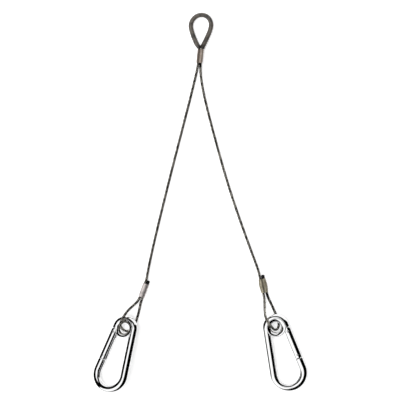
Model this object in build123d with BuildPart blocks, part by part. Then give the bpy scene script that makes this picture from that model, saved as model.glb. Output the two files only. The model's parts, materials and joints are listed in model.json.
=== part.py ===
from build123d import *
import os
from math import asin, cos, radians, sin, sqrt, tan

# Two-leg wire rope sling, laid flat on its side. +Y points to the top eye, +X to the right leg, +Z up.
# The surface that it lies on is z = 0. All dimensions are in millimetres.

# wire rope
ROPE_R = 1.0
ROPE_FLOOR_Z = ROPE_R
RUN_SHARE = 0.45
SWING_GAP = 1.1

# hose over the top eye
SLEEVE_R = 1.7
SLEEVE_BORE_R = 1.06
SLEEVE_Z = SLEEVE_R

# pressed ferrules, figure-eight section
FERRULE_L = 10.6
FERRULE_LOBE_R = 1.65
FERRULE_LOBE_X = 0.98
FERRULE_HOLE_X = 1.12
FERRULE_HOLE_R = 1.02
FERRULE_EDGE = 0.35
CAP_R = 1.19
CAP_L = 2.9
CAP_START = 0.1
TAIL_L = 1.6

# snap hook, 60 mm long, of 5.6 mm wire
WIRE_R = 2.8
NARROW_R = 7.2
WIDE_R = 11.4
BEND_SPACING = 36.0

# grooved eyelet in the narrow bend
GROOVE_R = 2.85
EYELET_WALL = 0.6
EYELET_WRAP = 82.0

# gate, measured along its own line from the end of the narrow bend
RIVET_S = 6.0
GATE_END_S = 28.0
GATE_GAP = 0.3
WIRE_END_S = 2.85
TONGUE_T = 2.0
TONGUE_HALF = 1.7
TONGUE_TIP = 2.1
TONGUE_CORNER = 0.8
SLOT_HALF = 1.05
HINGE_SLOT_L = 3.7
LATCH_SLOT_S = 22.2
RIVET_R = 0.95
RIVET_BORE_R = 1.0
RIVET_HALF = 2.85
LATCH_PIN_S = 25.4
LATCH_PIN_R = 0.75
LATCH_PIN_HALF = 2.72
PIN_FIT = 0.03
NOSE_S = 22.8
NOSE_HEAD_S = 24.4
NOSE_INNER = -1.0
NOSE_NECK = 0.95
NOSE_OUTER = 2.35
BORE_R = 1.3
BORE_END_S = 20.6
PLUNGER_R = 1.22
PLUNGER_GAP = 0.06
PLUNGER_L = 2.6
PLUNGER_STEM_R = 0.62
PLUNGER_STEM_L = 2.5
SPRING_R = 0.94
SPRING_WIRE_R = 0.17
SPRING_PITCH = 0.95

LEFT = -1
RIGHT = 1
SIDE_NAMES = {LEFT: "left", RIGHT: "right"}
# how each hook lies: its eyelet's centre, its long axis's lean, its narrow end's lift, and its turn about
# its long axis. The left hook lies on its gate's side, with its spine raised.
RING_CENTRE = {LEFT: (-57.2, -95.7, 6.05), RIGHT: (57.0, -94.7, 5.6)}
HOOK_LEAN = {LEFT: 17.7, RIGHT: 15.6}
HOOK_LIFT = {LEFT: -2.55, RIGHT: 3.39}
HOOK_ROLL = {LEFT: 25.0, RIGHT: 0.0}

# half the angle between the hook's two straight sides
FLARE = asin((WIDE_R - NARROW_R) / BEND_SPACING)
STRAIGHT_L = sqrt(BEND_SPACING**2 - (WIDE_R - NARROW_R) ** 2)


def ferrule_plane(x, y, lean, roll):
    """The middle of a ferrule resting on the surface. Z runs along it, X from its left hole to its right."""
    lean = radians(lean)
    roll = radians(roll)
    height = FERRULE_LOBE_R + FERRULE_LOBE_X * abs(sin(roll))
    across = Vector(cos(lean) * cos(roll), -sin(lean) * cos(roll), sin(roll))
    return Plane(origin=(x, y, height), x_dir=across, z_dir=(sin(lean), cos(lean), 0))


TOP_FERRULE = ferrule_plane(-0.45, 110.9, 5.85, 45)
LEG_FERRULE = {
    LEFT: ferrule_plane(-43.2, -67.05, 20.4, -45),
    RIGHT: ferrule_plane(47.55, -63.5, -11.9, 0),
}


def hole_point(plane, side, along):
    """A point on the axis of one of a ferrule's rope holes, along from its middle."""
    return plane.from_local_coords((side * FERRULE_HOLE_X, 0, along))


MOUTH = FERRULE_L / 2
STRAIGHT_OUT = MOUTH + 2.7

# rope routes: the corner points of each stretch, chosen by hand
EYE_ROUTE = [
    hole_point(TOP_FERRULE, LEFT, -MOUTH + 0.2),
    hole_point(TOP_FERRULE, LEFT, MOUTH + 1.2),
    (-2.9, 119.2, 1.65),
    (-7.6, 131.3, SLEEVE_Z),
    (-7.25, 137.3, SLEEVE_Z),
    (-2.8, 141.9, SLEEVE_Z),
    (3.4, 142.2, SLEEVE_Z),
    (7.6, 138.2, SLEEVE_Z),
    (8.2, 132.2, SLEEVE_Z),
    (2.4, 119.6, 2.0),
    hole_point(TOP_FERRULE, RIGHT, MOUTH + 1.2),
    hole_point(TOP_FERRULE, RIGHT, -MOUTH + 0.2),
]
LEG_ROUTE = {
    LEFT: [
        hole_point(TOP_FERRULE, LEFT, -MOUTH - SWING_GAP),
        (-2.7, 100.4, 1.3),
        (-4.3, 93.6, ROPE_FLOOR_Z),
        (-7.6, 80.0, ROPE_FLOOR_Z),
        (-14.2, 54.5, ROPE_FLOOR_Z),
        (-23.9, 16.8, ROPE_FLOOR_Z),
        (-33.2, -21.0, ROPE_FLOOR_Z),
        (-38.1, -42.5, ROPE_FLOOR_Z),
        (-40.1, -52.4, 1.7),
        hole_point(LEG_FERRULE[LEFT], LEFT, STRAIGHT_OUT),
        hole_point(LEG_FERRULE[LEFT], LEFT, 0),
    ],
    RIGHT: [
        hole_point(TOP_FERRULE, RIGHT, -MOUTH - SWING_GAP),
        (-0.3, 99.2, 2.2),
        (0.6, 91.6, ROPE_FLOOR_Z),
        (2.4, 81.4, ROPE_FLOOR_Z),
        (7.9, 59.0, ROPE_FLOOR_Z),
        (18.6, 20.1, ROPE_FLOOR_Z),
        (28.3, -9.6, ROPE_FLOOR_Z),
        (38.2, -36.8, ROPE_FLOOR_Z),
        (43.0, -49.6, 1.2),
        hole_point(LEG_FERRULE[RIGHT], LEFT, STRAIGHT_OUT),
        hole_point(LEG_FERRULE[RIGHT], LEFT, 0),
    ],
}
# each loop goes over the narrow bend, down through the eyelet and back under it
LOOP_ROUTE = {
    LEFT: [
        hole_point(LEG_FERRULE[LEFT], LEFT, 0),
        hole_point(LEG_FERRULE[LEFT], LEFT, -STRAIGHT_OUT),
        (-50.6, -77.9, 4.6),
        (-54.3, -81.2, 7.4),
        (-57.2, -84.8, 9.7),
        (-59.4, -88.6, 10.3),
        (-60.7, -91.9, 10.0),
        (-60.1, -94.7, 7.6),
        (-58.0, -97.3, 4.6),
        (-55.1, -98.1, 1.9),
        (-52.0, -96.2, ROPE_FLOOR_Z),
        (-49.4, -91.6, ROPE_FLOOR_Z),
        (-47.6, -85.8, ROPE_FLOOR_Z),
        (-46.3, -80.3, 1.1),
        hole_point(LEG_FERRULE[LEFT], RIGHT, -STRAIGHT_OUT),
        hole_point(LEG_FERRULE[LEFT], RIGHT, MOUTH + TAIL_L),
    ],
    RIGHT: [
        hole_point(LEG_FERRULE[RIGHT], LEFT, 0),
        hole_point(LEG_FERRULE[RIGHT], LEFT, -STRAIGHT_OUT),
        (48.5, -76.6, 3.2),
        (48.4, -81.6, 7.0),
        (48.7, -86.0, 10.8),
        (50.0, -89.6, 11.5),
        (51.9, -92.5, 11.1),
        (54.1, -94.9, 8.2),
        (56.0, -97.0, 4.5),
        (58.6, -96.4, 1.9),
        (59.6, -92.6, ROPE_FLOOR_Z),
        (58.1, -87.6, ROPE_FLOOR_Z),
        (55.9, -82.4, ROPE_FLOOR_Z),
        (53.5, -77.2, 1.1),
        hole_point(LEG_FERRULE[RIGHT], RIGHT, -STRAIGHT_OUT),
        hole_point(LEG_FERRULE[RIGHT], RIGHT, MOUTH + TAIL_L),
    ],
}


def corner_radii(route):
    """Each corner's arc is as large as its two runs allow."""
    radii = []
    for before, corner, after in zip(route, route[1:], route[2:]):
        run_in = Vector(corner) - Vector(before)
        run_out = Vector(after) - Vector(corner)
        half_turn = radians(run_in.get_angle(run_out)) / 2
        radii.append(RUN_SHARE * min(run_in.length, run_out.length) / tan(half_turn))
    return radii


def save(piece, label):
    piece.part.label = label
    export_step(piece.part, f"parts/{label}.step")


def rope_tube(route, round_start=False):
    """A plain tube of the rope's outer size, with a ball at its start if it swings there."""
    with BuildPart() as tube:
        with BuildLine() as path:
            FilletPolyline(*route, radius=corner_radii(route))
        with BuildSketch(Plane(origin=path.line @ 0, z_dir=path.line % 0)):
            Circle(ROPE_R)
        sweep()
        if round_start:
            with Locations(path.line @ 0):
                Sphere(ROPE_R)
    return tube, path.wire().length


def report_rope(label, route, tube, length):
    expected = length * 3.14159 * ROPE_R**2
    radii = ", ".join(f"{r:.1f}" for r in corner_radii(route))
    print(f"{label}: length {length:.1f} mm, volume / (section x length) {tube.part.volume / expected:.4f}")
    print(f"  radii {radii}")


def build_ropes():
    tube, length = rope_tube(EYE_ROUTE)
    report_rope("eye_rope", EYE_ROUTE, tube, length)
    save(tube, "eye_rope")
    for side, name in SIDE_NAMES.items():
        leg, leg_length = rope_tube(LEG_ROUTE[side], round_start=True)
        report_rope(f"{name}_leg_rope", LEG_ROUTE[side], leg, leg_length)
        save(leg, f"{name}_leg_rope")
        loop, loop_length = rope_tube(LOOP_ROUTE[side])
        report_rope(f"{name}_loop_rope", LOOP_ROUTE[side], loop, loop_length)
        save(loop, f"{name}_loop_rope")


def build_eye_sleeve():
    """The hose follows the eye rope from just above the ferrule on one side to just above on the other."""
    first = (Vector(EYE_ROUTE[1]) + Vector(EYE_ROUTE[2])) / 2
    last = (Vector(EYE_ROUTE[-3]) + Vector(EYE_ROUTE[-2])) / 2
    with BuildPart() as sleeve:
        with BuildLine() as path:
            FilletPolyline(first, *EYE_ROUTE[2:-2], last, radius=corner_radii(EYE_ROUTE)[1:-1])
        with BuildSketch(Plane(origin=path.line @ 0, z_dir=path.line % 0)):
            Circle(SLEEVE_R)
            Circle(SLEEVE_BORE_R, mode=Mode.SUBTRACT)
        sweep()
    save(sleeve, "eye_sleeve")


def build_ferrule(plane, label):
    """Two lobes pressed round two ropes lying side by side."""
    with BuildPart() as ferrule:
        with BuildSketch(plane.offset(-FERRULE_L / 2)):
            with Locations((-FERRULE_LOBE_X, 0), (FERRULE_LOBE_X, 0)):
                Circle(FERRULE_LOBE_R)
        extrude(amount=FERRULE_L)
        chamfer(ferrule.faces().sort_by(Axis(plane.origin, plane.z_dir))[-1].edges(), FERRULE_EDGE)
        chamfer(ferrule.faces().sort_by(Axis(plane.origin, plane.z_dir))[0].edges(), FERRULE_EDGE)
        with BuildSketch(plane.offset(-FERRULE_L / 2)):
            SlotCenterToCenter(2 * FERRULE_HOLE_X, 2 * FERRULE_HOLE_R)
        extrude(amount=FERRULE_L, mode=Mode.SUBTRACT)
    save(ferrule, label)


def build_tail_cap(side, name):
    """A short closed cap over the rope's dead end, standing out of the ferrule."""
    ferrule = LEG_FERRULE[side]
    start = hole_point(ferrule, RIGHT, MOUTH + CAP_START)
    mouth = Plane(origin=start, x_dir=ferrule.x_dir, z_dir=ferrule.z_dir)
    with BuildPart() as cap:
        with BuildSketch(mouth):
            Circle(CAP_R)
        extrude(amount=CAP_L)
        fillet(cap.faces().sort_by(Axis(mouth.origin, mouth.z_dir))[-1].edges(), CAP_R * 0.6)
        with BuildSketch(mouth):
            Circle(FERRULE_HOLE_R)
        extrude(amount=TAIL_L, mode=Mode.SUBTRACT)
    save(cap, f"{name}_tail_cap")


def hook_plane(side):
    """The hook's own plane, with its origin at the eyelet's centre and +Y towards the rope."""
    lean = radians(HOOK_LEAN[side])
    lift = radians(HOOK_LIFT[side])
    roll = radians(HOOK_ROLL[side])
    level = Vector(cos(lean), side * sin(lean), 0)
    flat_normal = Vector(side * sin(lift) * sin(lean), -sin(lift) * cos(lean), cos(lift))
    across = level * cos(roll) - flat_normal * side * sin(roll)
    normal = flat_normal * cos(roll) + level * side * sin(roll)
    return Plane(origin=RING_CENTRE[side], x_dir=across, z_dir=normal)


def gate_point(side, along, out=0.0):
    """A point beside the gate's line, in the hook's plane. The gate is on the hook's outer side."""
    x = NARROW_R * cos(FLARE) + along * sin(FLARE) + out * cos(FLARE)
    y = NARROW_R * sin(FLARE) - along * cos(FLARE) + out * sin(FLARE)
    return side * x, y


def gate_plane(side):
    """Origin where the narrow bend ends, +X along the gate to the wide bend, +Z out of the hook's plane."""
    hook = hook_plane(side)
    start = hook.from_local_coords(gate_point(side, 0))
    ahead = hook.from_local_coords(gate_point(side, 1))
    return Plane(origin=start, x_dir=ahead - start, z_dir=hook.z_dir)


def build_hook_body(side, name):
    hook = hook_plane(side)
    gate = gate_plane(side)
    top = (0, NARROW_R)
    bottom = (0, -BEND_SPACING - WIDE_R)
    gate_top = gate_point(side, 0)
    gate_bottom = gate_point(side, STRAIGHT_L)
    spine_top = (-gate_top[0], gate_top[1])
    spine_bottom = (-gate_bottom[0], gate_bottom[1])
    with BuildPart() as body:
        with BuildLine(hook) as wire:
            Line(gate_point(side, WIRE_END_S), gate_top)
            ThreePointArc(gate_top, top, spine_top)
            Line(spine_top, spine_bottom)
            ThreePointArc(spine_bottom, bottom, gate_bottom)
            Line(gate_bottom, gate_point(side, GATE_END_S + GATE_GAP))
        with BuildSketch(Plane(origin=wire.line @ 0, z_dir=wire.line % 0)):
            Circle(WIRE_R)
        sweep()
        # the tongue that the gate's fork turns on
        with BuildSketch(gate) as tongue:
            tongue_start = WIRE_END_S - 1.5
            tongue_end = RIVET_S + TONGUE_TIP
            with Locations(((tongue_start + tongue_end) / 2, 0)):
                Rectangle(tongue_end - tongue_start, 2 * TONGUE_HALF)
            fillet(tongue.vertices().sort_by(Axis.X)[-2:], TONGUE_CORNER)
            with Locations((RIVET_S, 0)):
                Circle(RIVET_BORE_R, mode=Mode.SUBTRACT)
        extrude(amount=TONGUE_T / 2, both=True)
        # the nose that the latch pin catches under
        with BuildSketch(gate) as nose:
            with BuildLine():
                Polyline(
                    (GATE_END_S + 1.5, side * NOSE_OUTER),
                    (NOSE_S, side * NOSE_OUTER),
                    (NOSE_S, side * NOSE_INNER),
                    (NOSE_HEAD_S, side * NOSE_INNER),
                    (NOSE_HEAD_S, side * NOSE_NECK),
                    (GATE_END_S + 1.5, side * NOSE_NECK),
                    close=True,
                )
            make_face()
        extrude(amount=TONGUE_T / 2, both=True)
    save(body, f"{name}_hook_body")


def build_eyelet(side, name):
    """A channel pressed round the inside of the narrow bend, with a round throat for the rope."""
    hook = hook_plane(side)
    section = Plane(origin=hook.origin, x_dir=hook.x_dir, z_dir=-hook.y_dir)
    with BuildPart() as eyelet:
        with BuildSketch(section):
            with BuildLine():
                first = 180 - EYELET_WRAP
                outer = CenterArc((NARROW_R, 0), GROOVE_R + EYELET_WALL, first, 2 * EYELET_WRAP)
                inner = CenterArc((NARROW_R, 0), GROOVE_R, first, 2 * EYELET_WRAP)
                Line(outer @ 0, inner @ 0)
                Line(outer @ 1, inner @ 1)
            make_face()
        revolve(axis=Axis(hook.origin, hook.z_dir))
        fillet(eyelet.edges().filter_by(GeomType.CIRCLE), EYELET_WALL * 0.4)
    save(eyelet, f"{name}_hook_eyelet")


def build_pin(side, label, along, radius, half_length):
    """A plain round pin across the hook's plane, its ends rounded over."""
    with BuildPart() as pin:
        with BuildSketch(gate_plane(side).offset(-half_length)):
            with Locations((along, 0)):
                Circle(radius)
        extrude(amount=2 * half_length)
        fillet(pin.edges(), radius * 0.35)
    save(pin, label)


def build_gate(side, name):
    gate = gate_plane(side)
    fork_start = RIVET_S - WIRE_R
    fork_end = RIVET_S + HINGE_SLOT_L
    with BuildPart() as lever:
        along = Plane(origin=gate.from_local_coords((fork_start, 0, 0)), x_dir=gate.y_dir, z_dir=gate.x_dir)
        with BuildSketch(along):
            Circle(WIRE_R)
        extrude(amount=GATE_END_S - fork_start)
        # the hinge end is rounded about the rivet
        with BuildSketch(gate.offset(-WIRE_R - 1)):
            with Locations((RIVET_S, 0)):
                Circle(WIRE_R)
            with Locations(((RIVET_S + GATE_END_S) / 2 + 1, 0)):
                Rectangle(GATE_END_S - RIVET_S + 2, 2 * WIRE_R + 2)
        extrude(amount=2 * WIRE_R + 2, mode=Mode.INTERSECT)
        with BuildSketch(gate.offset(-SLOT_HALF)):
            with Locations(((fork_start + fork_end) / 2, 0)):
                Rectangle(fork_end - fork_start, 2 * WIRE_R)
            with Locations(((LATCH_SLOT_S + GATE_END_S) / 2, 0)):
                Rectangle(GATE_END_S - LATCH_SLOT_S, 2 * WIRE_R)
        extrude(amount=2 * SLOT_HALF, mode=Mode.SUBTRACT)
        with BuildSketch(along):
            Circle(BORE_R)
        extrude(amount=BORE_END_S - fork_start, mode=Mode.SUBTRACT)
        with BuildSketch(gate.offset(-WIRE_R - 1)):
            with Locations((RIVET_S, 0)):
                Circle(RIVET_BORE_R)
            with Locations((LATCH_PIN_S, 0)):
                Circle(LATCH_PIN_R + PIN_FIT)
        extrude(amount=2 * WIRE_R + 2, mode=Mode.SUBTRACT)
    save(lever, f"{name}_gate")


def bore_plane(side, along):
    """Across the gate's bore at a distance along the gate, +Z towards the gate's free end."""
    gate = gate_plane(side)
    return Plane(origin=gate.from_local_coords((along, 0, 0)), x_dir=gate.y_dir, z_dir=gate.x_dir)


PLUNGER_S = RIVET_S + TONGUE_TIP + PLUNGER_GAP
SPRING_START_S = PLUNGER_S + PLUNGER_L + SPRING_WIRE_R
SPRING_END_S = BORE_END_S - SPRING_WIRE_R - 0.02


def build_plunger(side, name):
    """A flat-faced plunger that the spring presses against the tongue's end."""
    with BuildPart() as plunger:
        with BuildSketch(bore_plane(side, PLUNGER_S)):
            Circle(PLUNGER_R)
        extrude(amount=PLUNGER_L)
        with BuildSketch(bore_plane(side, PLUNGER_S + PLUNGER_L)):
            Circle(PLUNGER_STEM_R)
        extrude(amount=PLUNGER_STEM_L)
    save(plunger, f"{name}_gate_plunger")


def build_spring(side, name):
    with BuildPart() as spring:
        base = bore_plane(side, SPRING_START_S + 0.02)
        length = SPRING_END_S - SPRING_START_S - 0.02
        with BuildLine(base) as coil:
            Helix(SPRING_PITCH, length, SPRING_R, direction=base.z_dir)
        with BuildSketch(Plane(origin=coil.line @ 0, z_dir=coil.line % 0)):
            Circle(SPRING_WIRE_R)
        sweep(is_frenet=True)
    save(spring, f"{name}_gate_spring")


def main():
    os.makedirs("parts", exist_ok=True)
    build_ropes()
    build_eye_sleeve()
    build_ferrule(TOP_FERRULE, "top_ferrule")
    for side, name in SIDE_NAMES.items():
        build_ferrule(LEG_FERRULE[side], f"{name}_ferrule")
        build_tail_cap(side, name)
        build_hook_body(side, name)
        build_eyelet(side, name)
        build_pin(side, f"{name}_hinge_rivet", RIVET_S, RIVET_R, RIVET_HALF)
        build_gate(side, name)
        build_pin(side, f"{name}_latch_pin", LATCH_PIN_S, LATCH_PIN_R, LATCH_PIN_HALF)
        build_plunger(side, name)
        build_spring(side, name)


main()
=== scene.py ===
import json
import math

import bmesh
import bpy
import numpy as np
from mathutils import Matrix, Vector


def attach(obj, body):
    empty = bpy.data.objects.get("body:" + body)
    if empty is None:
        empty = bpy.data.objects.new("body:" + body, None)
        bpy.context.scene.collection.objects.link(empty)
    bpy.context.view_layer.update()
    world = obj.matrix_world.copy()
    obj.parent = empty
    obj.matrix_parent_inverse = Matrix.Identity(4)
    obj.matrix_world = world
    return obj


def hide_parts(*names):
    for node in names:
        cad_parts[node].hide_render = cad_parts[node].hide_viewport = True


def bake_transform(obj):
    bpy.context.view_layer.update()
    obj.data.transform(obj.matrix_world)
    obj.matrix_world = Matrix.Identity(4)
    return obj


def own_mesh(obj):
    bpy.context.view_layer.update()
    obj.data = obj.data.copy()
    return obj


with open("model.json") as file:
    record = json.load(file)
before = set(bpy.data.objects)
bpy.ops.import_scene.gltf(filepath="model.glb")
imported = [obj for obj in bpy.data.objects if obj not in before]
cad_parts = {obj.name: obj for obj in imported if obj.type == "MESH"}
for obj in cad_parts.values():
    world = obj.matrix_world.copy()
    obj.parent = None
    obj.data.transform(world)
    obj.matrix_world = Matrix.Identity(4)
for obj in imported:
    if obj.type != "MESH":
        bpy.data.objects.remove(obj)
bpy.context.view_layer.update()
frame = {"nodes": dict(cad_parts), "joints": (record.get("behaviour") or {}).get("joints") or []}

# Two-leg wire rope sling lying on a pale surface, z = 0. Blender works in metres, and MM turns the
# millimetres of the object's own dimensions into metres. Y points from the hooks to the top eye.
MM = 0.001

# wire rope: six strands round a core, each of six wires round a seventh
ROPE_R = 1.0 * MM
STRANDS = 6
STRAND_R = ROPE_R / 3
STRAND_ORBIT = ROPE_R - STRAND_R
ROPE_LAY = 9.0 * MM
WIRE_LAY = 4.4 * MM
STRAND_TONES = (1.0, 0.10, 0.85, 0.2, 0.95, 0.05)
WIRES = 6
ROPE_STEP = 0.4 * MM
# how far along the rope the painted shadow at a ferrule's mouth reaches
MOUTH_SHADOW_REACH = 2.4 * MM
FLOOR_Z = ROPE_R

# hose over the top eye
HOSE_R = 1.7 * MM
HOSE_BORE_R = 1.08 * MM
HOSE_STEP = 0.35 * MM
HOSE_START_GAP = 0.6 * MM
HOSE_END_GAP = 0.3 * MM
HOSE_TAPER = 2 * MM
# how far from each end of the hose the painted shadow reaches
HOSE_END_SHADOW = 2.6 * MM

# pressed ferrules
FERRULE_L = 10.6 * MM
LOBE_R = 1.65 * MM
LOBE_X = 0.98 * MM
HOLE_X = 1.12 * MM
HOLE_R = 1.02 * MM
MOUTH = FERRULE_L / 2
STRAIGHT_OUT = MOUTH + 2.7 * MM
TAIL_L = 1.6 * MM
JAW_MARKS = (0.27, 0.73)
JAW_MARK_WIDTH = 0.05
JAW_MARK_DEPTH = 0.022
CAP_R = 1.3 * MM
CAP_START = 0.1 * MM

# snap hook
WIRE_R = 2.8 * MM
WIRE_EDGE = 0.45 * MM
NARROW_R = 7.2 * MM
WIDE_R = 11.4 * MM
BEND_SPACING = 36.0 * MM
GROOVE_R = 2.85 * MM
EYELET_WALL = 0.6 * MM
EYELET_WRAP = math.radians(82)
RIVET_S = 6.0 * MM
GATE_END_S = 28.0 * MM
GATE_GAP = 0.3 * MM
WIRE_END_S = 2.85 * MM
TONGUE_HALF_T = 1.0 * MM
TONGUE_HALF = 1.7 * MM
TONGUE_TIP = 2.1 * MM
TONGUE_CORNER = 0.8 * MM
PLATE_ROOT = 1.5 * MM
PLATE_EDGE = 0.12 * MM
SLOT_HALF = 1.05 * MM
HINGE_SLOT_L = 3.7 * MM
LATCH_SLOT_S = 22.2 * MM
RIVET_R = 0.95 * MM
RIVET_HALF = 2.85 * MM
RIVET_HOLE_R = 1.0 * MM
LATCH_PIN_S = 25.4 * MM
LATCH_PIN_R = 0.75 * MM
LATCH_PIN_HALF = 2.72 * MM
LATCH_HOLE_R = 0.78 * MM
NOSE_S = 22.8 * MM
NOSE_HEAD_S = 24.4 * MM
NOSE_INNER = -1.0 * MM
NOSE_NECK = 0.95 * MM
NOSE_OUTER = 2.35 * MM
BORE_R = 1.3 * MM
BORE_END_S = 20.6 * MM
SPRING_START_S = 10.95 * MM
SPRING_END_S = 20.41 * MM
SPRING_R = 0.94 * MM
SPRING_WIRE_R = 0.17 * MM
SPRING_TURNS = 10
SPRING_PINCH = 0.035
CUT_OVER = 1.0 * MM
FLARE = math.asin((WIDE_R - NARROW_R) / BEND_SPACING)
STRAIGHT_L = math.sqrt(BEND_SPACING**2 - (WIDE_R - NARROW_R) ** 2)

LEFT = -1
RIGHT = 1
SIDES = {LEFT: "left", RIGHT: "right"}
JOINTS = {joint["name"]: joint for joint in frame["joints"]}


# ---------------------------------------------------------------- camera

CAMERA_HEIGHT = 1.5
VIEW_WIDTH = 0.304
VIEW_CENTRE = (-0.0005, 0.0016)
SENSOR = 36.0


def add_camera():
    """Straight down on the sling, from far enough away that it hardly shows perspective."""
    data = bpy.data.cameras.new("camera")
    data.sensor_width = SENSOR
    data.lens = SENSOR * CAMERA_HEIGHT / VIEW_WIDTH
    data.clip_start = 0.01
    data.clip_end = 20
    camera = bpy.data.objects.new("camera", data)
    camera.location = (*VIEW_CENTRE, CAMERA_HEIGHT)
    bpy.context.scene.collection.objects.link(camera)
    bpy.context.scene.camera = camera


add_camera()


# ---------------------------------------------------------------- mesh helpers


def new_object(name, vertices, faces, smooth=True):
    mesh = bpy.data.meshes.new(name)
    mesh.from_pydata([tuple(v) for v in vertices], [], faces)
    mesh.validate()
    mesh.update()
    mesh.polygons.foreach_set("use_smooth", [smooth] * len(mesh.polygons))
    thing = bpy.data.objects.new(name, mesh)
    bpy.context.scene.collection.objects.link(thing)
    return thing


def grid_faces(rings, sides, start=0):
    """Quads between successive closed rings of vertices."""
    faces = []
    for i in range(rings - 1):
        for k in range(sides):
            after = (k + 1) % sides
            a = start + i * sides
            b = a + sides
            faces.append((a + k, a + after, b + after, b + k))
    return faces


def add_end_faces(faces, rings, sides, start=0):
    """Closes a stack of rings with one face at each end."""
    faces.append(tuple(range(start + sides - 1, start - 1, -1)))
    last = start + (rings - 1) * sides
    faces.append(tuple(range(last, last + sides)))


def round_angles(sides):
    return np.linspace(0, 2 * math.pi, sides, endpoint=False)


def round_spokes(normals, binormals, sides):
    """Unit vectors all round each point of a line."""
    cosines = np.cos(round_angles(sides))[None, :, None]
    sines = np.sin(round_angles(sides))[None, :, None]
    return cosines * normals[:, None, :] + sines * binormals[:, None, :]


def slab(low, high):
    """A closed mesh between two matching outlines."""
    mesh = bmesh.new()
    bottom = [mesh.verts.new(place) for place in low]
    top = [mesh.verts.new(place) for place in high]
    mesh.faces.new(bottom)
    mesh.faces.new(top)
    for i in range(len(bottom)):
        j = (i + 1) % len(bottom)
        mesh.faces.new((bottom[i], bottom[j], top[j], top[i]))
    bmesh.ops.recalc_face_normals(mesh, faces=mesh.faces)
    return mesh


def object_from(name, mesh):
    data = bpy.data.meshes.new(name)
    mesh.to_mesh(data)
    mesh.free()
    thing = bpy.data.objects.new(name, data)
    bpy.context.scene.collection.objects.link(thing)
    return thing


def face_outwards(thing):
    mesh = bmesh.new()
    mesh.from_mesh(thing.data)
    bmesh.ops.recalc_face_normals(mesh, faces=mesh.faces)
    mesh.to_mesh(thing.data)
    mesh.free()


def add_attribute(thing, name, values):
    attribute = thing.data.attributes.new(name, "FLOAT", "POINT")
    attribute.data.foreach_set("value", np.asarray(values, np.float32))


def unit_rows(rows):
    return rows / np.linalg.norm(rows, axis=1, keepdims=True)


def carried_frames(line, first_normal=(0, 0, 1)):
    """Unit tangents, normals and binormals along a line, carried without twist."""
    tangents = unit_rows(np.gradient(line, axis=0))
    normals = np.zeros_like(line)
    normal = np.array(first_normal, float)
    for i, tangent in enumerate(tangents):
        normal = normal - tangent * (normal @ tangent)
        if np.linalg.norm(normal) < 1e-6:
            normal = np.cross(tangent, (1, 0, 0))
        normal = normal / np.linalg.norm(normal)
        normals[i] = normal
    return tangents, normals, np.cross(tangents, normals)


def even_steps(line, step):
    """The same line with its points an even distance apart, and each point's distance from the start."""
    lengths = np.concatenate([[0], np.cumsum(np.linalg.norm(np.diff(line, axis=0), axis=1))])
    count = max(2, int(round(lengths[-1] / step)) + 1)
    distance = np.linspace(0, lengths[-1], count)
    even = np.stack([np.interp(distance, lengths, line[:, k]) for k in range(3)], axis=1)
    return even, distance


def nurbs_line(route, detail=24):
    """Points along the smooth line that has the route's points as its control points."""
    curve = bpy.data.curves.new("line", "CURVE")
    curve.dimensions = "3D"
    curve.resolution_u = detail
    spline = curve.splines.new("NURBS")
    spline.points.add(len(route) - 1)
    for point, place in zip(spline.points, route):
        point.co = (*place, 1)
    spline.order_u = 3
    spline.use_endpoint_u = True
    holder = bpy.data.objects.new("line", curve)
    mesh = bpy.data.meshes.new_from_object(holder)
    line = np.array([v.co for v in mesh.vertices], float)
    bpy.data.meshes.remove(mesh)
    bpy.data.objects.remove(holder)
    bpy.data.curves.remove(curve)
    return line


# ---------------------------------------------------------------- rope routes


def ferrule_frame(x, y, lean, roll):
    """A ferrule's middle and directions: across from left hole to right, along it, and out of its flat."""
    lean = math.radians(lean)
    roll = math.radians(roll)
    height = LOBE_R + LOBE_X * abs(math.sin(roll))
    flat = math.cos(roll)
    across = Vector((math.cos(lean) * flat, -math.sin(lean) * flat, math.sin(roll)))
    along = Vector((math.sin(lean), math.cos(lean), 0))
    return {
        "middle": Vector((x, y, height)),
        "across": across,
        "along": along,
        "out": across.cross(along),
    }


TOP_FERRULE = ferrule_frame(-0.00045, 0.1109, 5.85, 45)
LEG_FERRULE = {
    LEFT: ferrule_frame(-0.0432, -0.06705, 20.4, -45),
    RIGHT: ferrule_frame(0.04755, -0.0635, -11.9, 0),
}


LEG_FERRULE_BULGE = {LEFT: 0.04, RIGHT: 0.18}


def hole_point(ferrule, side, along):
    """A point on the axis of one of a ferrule's rope holes, along from its middle."""
    return tuple(ferrule["middle"] + ferrule["across"] * side * HOLE_X + ferrule["along"] * along)


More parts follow.
